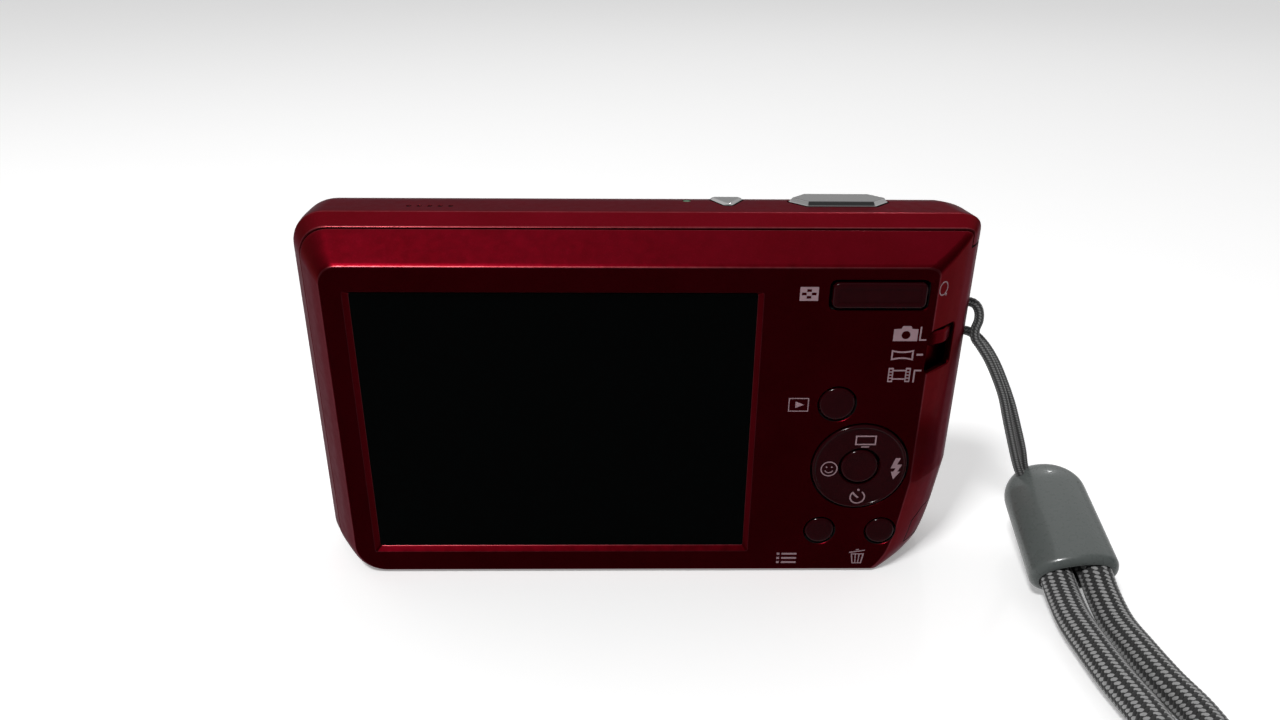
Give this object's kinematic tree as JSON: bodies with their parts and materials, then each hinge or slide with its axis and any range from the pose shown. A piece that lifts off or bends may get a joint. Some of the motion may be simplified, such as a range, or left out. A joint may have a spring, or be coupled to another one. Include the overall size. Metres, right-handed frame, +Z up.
{
  "type": "compact digital camera",
  "caption": "Slim pocket camera with a retracting zoom lens, rear screen, key cluster, zoom rocker, top shutter key and a braided wrist loop.",
  "frame": {"origin": "on the surface under the middle of the camera, strap left out", "axes": "+Z up, +Y out of the lens, +X to the right as the rear screen is read"},
  "size_m": [0.1148, 0.092, 0.0529],
  "materials": {
    "body_paint": "satin metallic red, light wear on the edges",
    "frame_steel": "stamped",
    "screw_steel": "plated",
    "screen_glass": "gloss, dark",
    "dark_plastic": "moulded",
    "key_plastic": "gloss, dark red",
    "chrome_trim": "polished",
    "board_green": "solder mask",
    "lens_silver": "fine turned",
    "lens_black": "fine texture",
    "optic_glass": "coated",
    "clear_plastic": "ribbed, clear",
    "lamp_lens": "gloss",
    "green_lens": "gloss",
    "latch_blue": "moulded",
    "card_blue": "moulded",
    "cell_grey": "wrapped cell",
    "contact_gold": "plated",
    "nylon_gear": "natural nylon",
    "string_cord": "braided, thin",
    "ferrule_grey": "gloss, moulded",
    "braid_cord": "two tone braid"
  },
  "bodies": {
    "camera": {"rear_cover": "body_paint", "front_cover": "body_paint", "chassis": "frame_steel", "case_screws": "screw_steel", "lcd_window": "screen_glass", "lcd_panel": "dark_plastic", "lcd_tray": "frame_steel", "key_board": "board_green", "key_domes": "screw_steel", "top_board": "board_green", "top_switches": "nylon_gear", "lens_bezel": "lens_silver", "lens_housing": "lens_black", "lens_rear_group": "lens_black", "image_sensor": "optic_glass", "sensor_plate": "frame_steel", "zoom_motor": "frame_steel", "flash_window": "clear_plastic", "flash_reflector": "chrome_trim", "flash_tube": "clear_plastic", "flash_capacitor": "cell_grey", "focus_lamp": "lamp_lens", "microphone": "dark_plastic", "speaker": "dark_plastic", "power_lamp": "green_lens", "main_board": "board_green", "battery": "cell_grey", "battery_case": "dark_plastic", "battery_contacts": "contact_gold", "memory_card": "card_blue", "card_slot": "frame_steel", "multi_connector": "frame_steel", "door_pin": "screw_steel", "tripod_socket": "frame_steel", "strap_bar": "screw_steel", "strap_string": "string_cord", "strap_ferrule": "ferrule_grey", "wrist_loop": "braid_cord"},
    "zoom_rocker": {"zoom_rocker": "key_plastic"},
    "mode_switch": {"mode_switch": "key_plastic"},
    "playback_button": {"playback_button": "key_plastic"},
    "ring_pivot": {"ring_pivot": "dark_plastic"},
    "control_ring": {"control_ring": "key_plastic"},
    "select_button": {"select_button": "key_plastic"},
    "menu_button": {"menu_button": "key_plastic"},
    "delete_button": {"delete_button": "key_plastic"},
    "power_button": {"power_button": "chrome_trim"},
    "shutter_button": {"shutter_button": "chrome_trim"},
    "lens_outer": {"lens_barrel_outer": "lens_silver"},
    "lens_inner": {"lens_barrel_inner": "lens_silver", "lens_front_plate": "lens_black", "lens_front_glass": "optic_glass"},
    "barrier_upper": {"barrier_upper": "lens_black"},
    "barrier_lower": {"barrier_lower": "lens_black"},
    "zoom_gear": {"zoom_gear": "nylon_gear"},
    "battery_door": {"battery_door": "body_paint"},
    "cord_cover": {"cord_cover": "body_paint"},
    "battery_latch": {"battery_latch": "latch_blue"}
  },
  "joints": [
    {"name": "playback_press", "type": "slide", "parent": "camera", "child": "playback_button", "axis": [0, 1, 0], "range_m": [0, 0.00025], "stiffness_N_per_m": 400, "springref_m": -0.0002},
    {"name": "select_press", "type": "slide", "parent": "camera", "child": "select_button", "axis": [0, 1, 0], "range_m": [0, 0.00025], "stiffness_N_per_m": 400, "springref_m": -0.0002},
    {"name": "menu_press", "type": "slide", "parent": "camera", "child": "menu_button", "axis": [0, 1, 0], "range_m": [0, 0.00025], "stiffness_N_per_m": 400, "springref_m": -0.0002},
    {"name": "delete_press", "type": "slide", "parent": "camera", "child": "delete_button", "axis": [0, 1, 0], "range_m": [0, 0.00025], "stiffness_N_per_m": 400, "springref_m": -0.0002},
    {"name": "power_press", "type": "slide", "parent": "camera", "child": "power_button", "axis": [0, 0, -1], "range_m": [0, 0.0004], "stiffness_N_per_m": 400, "springref_m": -0.0002},
    {"name": "shutter_press", "type": "slide", "parent": "camera", "child": "shutter_button", "axis": [0, 0, -1], "range_m": [0, 0.0008], "stiffness_N_per_m": 300, "springref_m": -0.0003},
    {"name": "zoom_rock", "type": "hinge", "parent": "camera", "child": "zoom_rocker", "pos_m": [0.03095, -0.0083, 0.04365], "axis": [0, 0, 1], "range_deg": [-3.5, 3.5], "stiffness_Nm_per_rad": 0.02},
    {"name": "ring_up_down", "type": "hinge", "parent": "camera", "child": "ring_pivot", "pos_m": [0.031, -0.0077, 0.018], "axis": [1, 0, 0], "range_deg": [-2.5, 2.5], "stiffness_Nm_per_rad": 0.02},
    {"name": "ring_left_right", "type": "hinge", "parent": "ring_pivot", "child": "control_ring", "pos_m": [0.031, -0.0077, 0.018], "axis": [0, 0, 1], "range_deg": [-2.5, 2.5], "stiffness_Nm_per_rad": 0.02},
    {"name": "mode_slide", "type": "slide", "parent": "camera", "child": "mode_switch", "axis": [0, 0, -1], "range_m": [0, 0.0035]},
    {"name": "lens_extend", "type": "slide", "parent": "camera", "child": "lens_outer", "axis": [0, 1, 0], "range_m": [0, 0.009]},
    {"name": "lens_zoom", "type": "slide", "parent": "lens_outer", "child": "lens_inner", "axis": [0, 1, 0], "range_m": [0, 0.0081]},
    {"name": "barrier_upper_turn", "type": "hinge", "parent": "lens_inner", "child": "barrier_upper", "pos_m": [-0.0249, 0.0089, 0.027], "axis": [0, -1, 0], "range_deg": [0, 32]},
    {"name": "barrier_lower_turn", "type": "hinge", "parent": "lens_inner", "child": "barrier_lower", "pos_m": [-0.0041, 0.0089, 0.025], "axis": [0, -1, 0], "range_deg": [0, 32]},
    {"name": "zoom_gear_spin", "type": "hinge", "parent": "camera", "child": "zoom_gear", "pos_m": [-0.0386, 0.0001, 0.0264], "axis": [0, 0, 1], "range_deg": [0, 120]},
    {"name": "battery_door_swing", "type": "hinge", "parent": "camera", "child": "battery_door", "pos_m": [0.0054, 0.0005, 0.0006], "axis": [0, 1, 0], "range_deg": [0, 95]},
    {"name": "cord_cover_swing", "type": "hinge", "parent": "camera", "child": "cord_cover", "pos_m": [0.04595, -0.0017, 0.0059], "axis": [0, 0, 1], "range_deg": [0, 75]},
    {"name": "battery_latch_slide", "type": "slide", "parent": "camera", "child": "battery_latch", "axis": [-1, 0, 0], "range_m": [0, 0.0015], "stiffness_N_per_m": 200, "springref_m": -0.0002}
  ],
  "couplings": [
    {"joint": "lens_zoom", "follows": "lens_extend", "ratio": 0.9},
    {"joint": "barrier_upper_turn", "follows": "lens_extend", "rad_per_m": 60.117},
    {"joint": "barrier_lower_turn", "follows": "lens_extend", "rad_per_m": 60.117},
    {"joint": "zoom_gear_spin", "follows": "lens_extend", "rad_per_m": 230.77}
  ]
}
